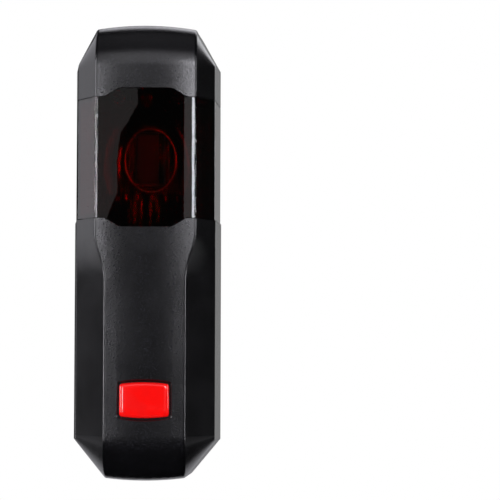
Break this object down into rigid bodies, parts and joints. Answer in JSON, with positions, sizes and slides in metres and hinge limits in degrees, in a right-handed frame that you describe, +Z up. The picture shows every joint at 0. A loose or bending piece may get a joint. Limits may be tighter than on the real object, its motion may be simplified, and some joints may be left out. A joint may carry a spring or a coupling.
{
  "type": "photocell",
  "caption": "Slim wall-mounted photocell: chamfered column housing with a smoked wrap-around window, a lens head that turns on a ribbed stem, and a terminal board behind the front cover.",
  "frame": {"origin": "on the wall face, in the middle of the four wall holes", "axes": "+Z up along the column, +X to the right seen from the front, +Y into the wall, -Y to the front"},
  "size_m": [0.0446, 0.0367, 0.1347],
  "materials": {
    "housing": "satin moulded, spark-eroded grain on the front band",
    "smoked_window": "polished smoked red infrared filter",
    "badge_red": "glossy domed",
    "seal_rubber": "matt",
    "screw_steel": "zinc plated",
    "pivot_steel": "ground",
    "board": "solder mask",
    "terminal_green": "satin moulded",
    "relay_case": "satin moulded",
    "capacitor_can": "sleeved can",
    "chip_epoxy": "moulded epoxy",
    "led_red": "clear red",
    "connector_plastic": "natural nylon",
    "header_plastic": "moulded",
    "carrier_black": "moulded",
    "lens_clear": "polished",
    "ring_black": "satin",
    "washer_plastic": "acetal",
    "lead_sheath": "matt"
  },
  "bodies": {
    "housing": {"rear_base": "housing", "base_seal": "seal_rubber", "cable_grommet": "seal_rubber", "circuit_board": "board", "board_screw_upper": "screw_steel", "board_screw_lower": "screw_steel", "terminal_block": "terminal_green", "terminal_screw_1": "screw_steel", "terminal_screw_2": "screw_steel", "terminal_screw_3": "screw_steel", "terminal_screw_4": "screw_steel", "relay": "relay_case", "filter_capacitor": "capacitor_can", "microcontroller": "chip_epoxy", "alignment_led": "led_red", "sync_header": "header_plastic", "sync_jumper": "header_plastic", "lead_connector": "connector_plastic", "optics_bracket": "carrier_black", "bracket_screw_right": "screw_steel", "bracket_screw_left": "screw_steel", "bracket_screw_lower": "screw_steel", "top_pivot": "pivot_steel", "friction_washer": "washer_plastic", "sensor_lead": "lead_sheath", "top_cap": "housing", "cap_screw": "screw_steel", "window": "smoked_window", "front_cover": "housing", "cover_screw": "screw_steel", "badge": "badge_red"},
    "optics_head": {"swivel_stem": "carrier_black", "stem_clip": "pivot_steel", "head_front": "carrier_black", "head_rear": "carrier_black", "head_screw_right": "screw_steel", "head_screw_left": "screw_steel", "lens": "lens_clear", "lens_ring": "ring_black", "light_baffle": "carrier_black", "sensor_board": "board", "photodiode": "chip_epoxy"}
  },
  "joints": [
    {"name": "head_pan", "type": "hinge", "parent": "housing", "child": "optics_head", "pos_m": [0, -0.0207, 0.027], "axis": [0, 0, 1], "range_deg": [-98, 82]}
  ]
}
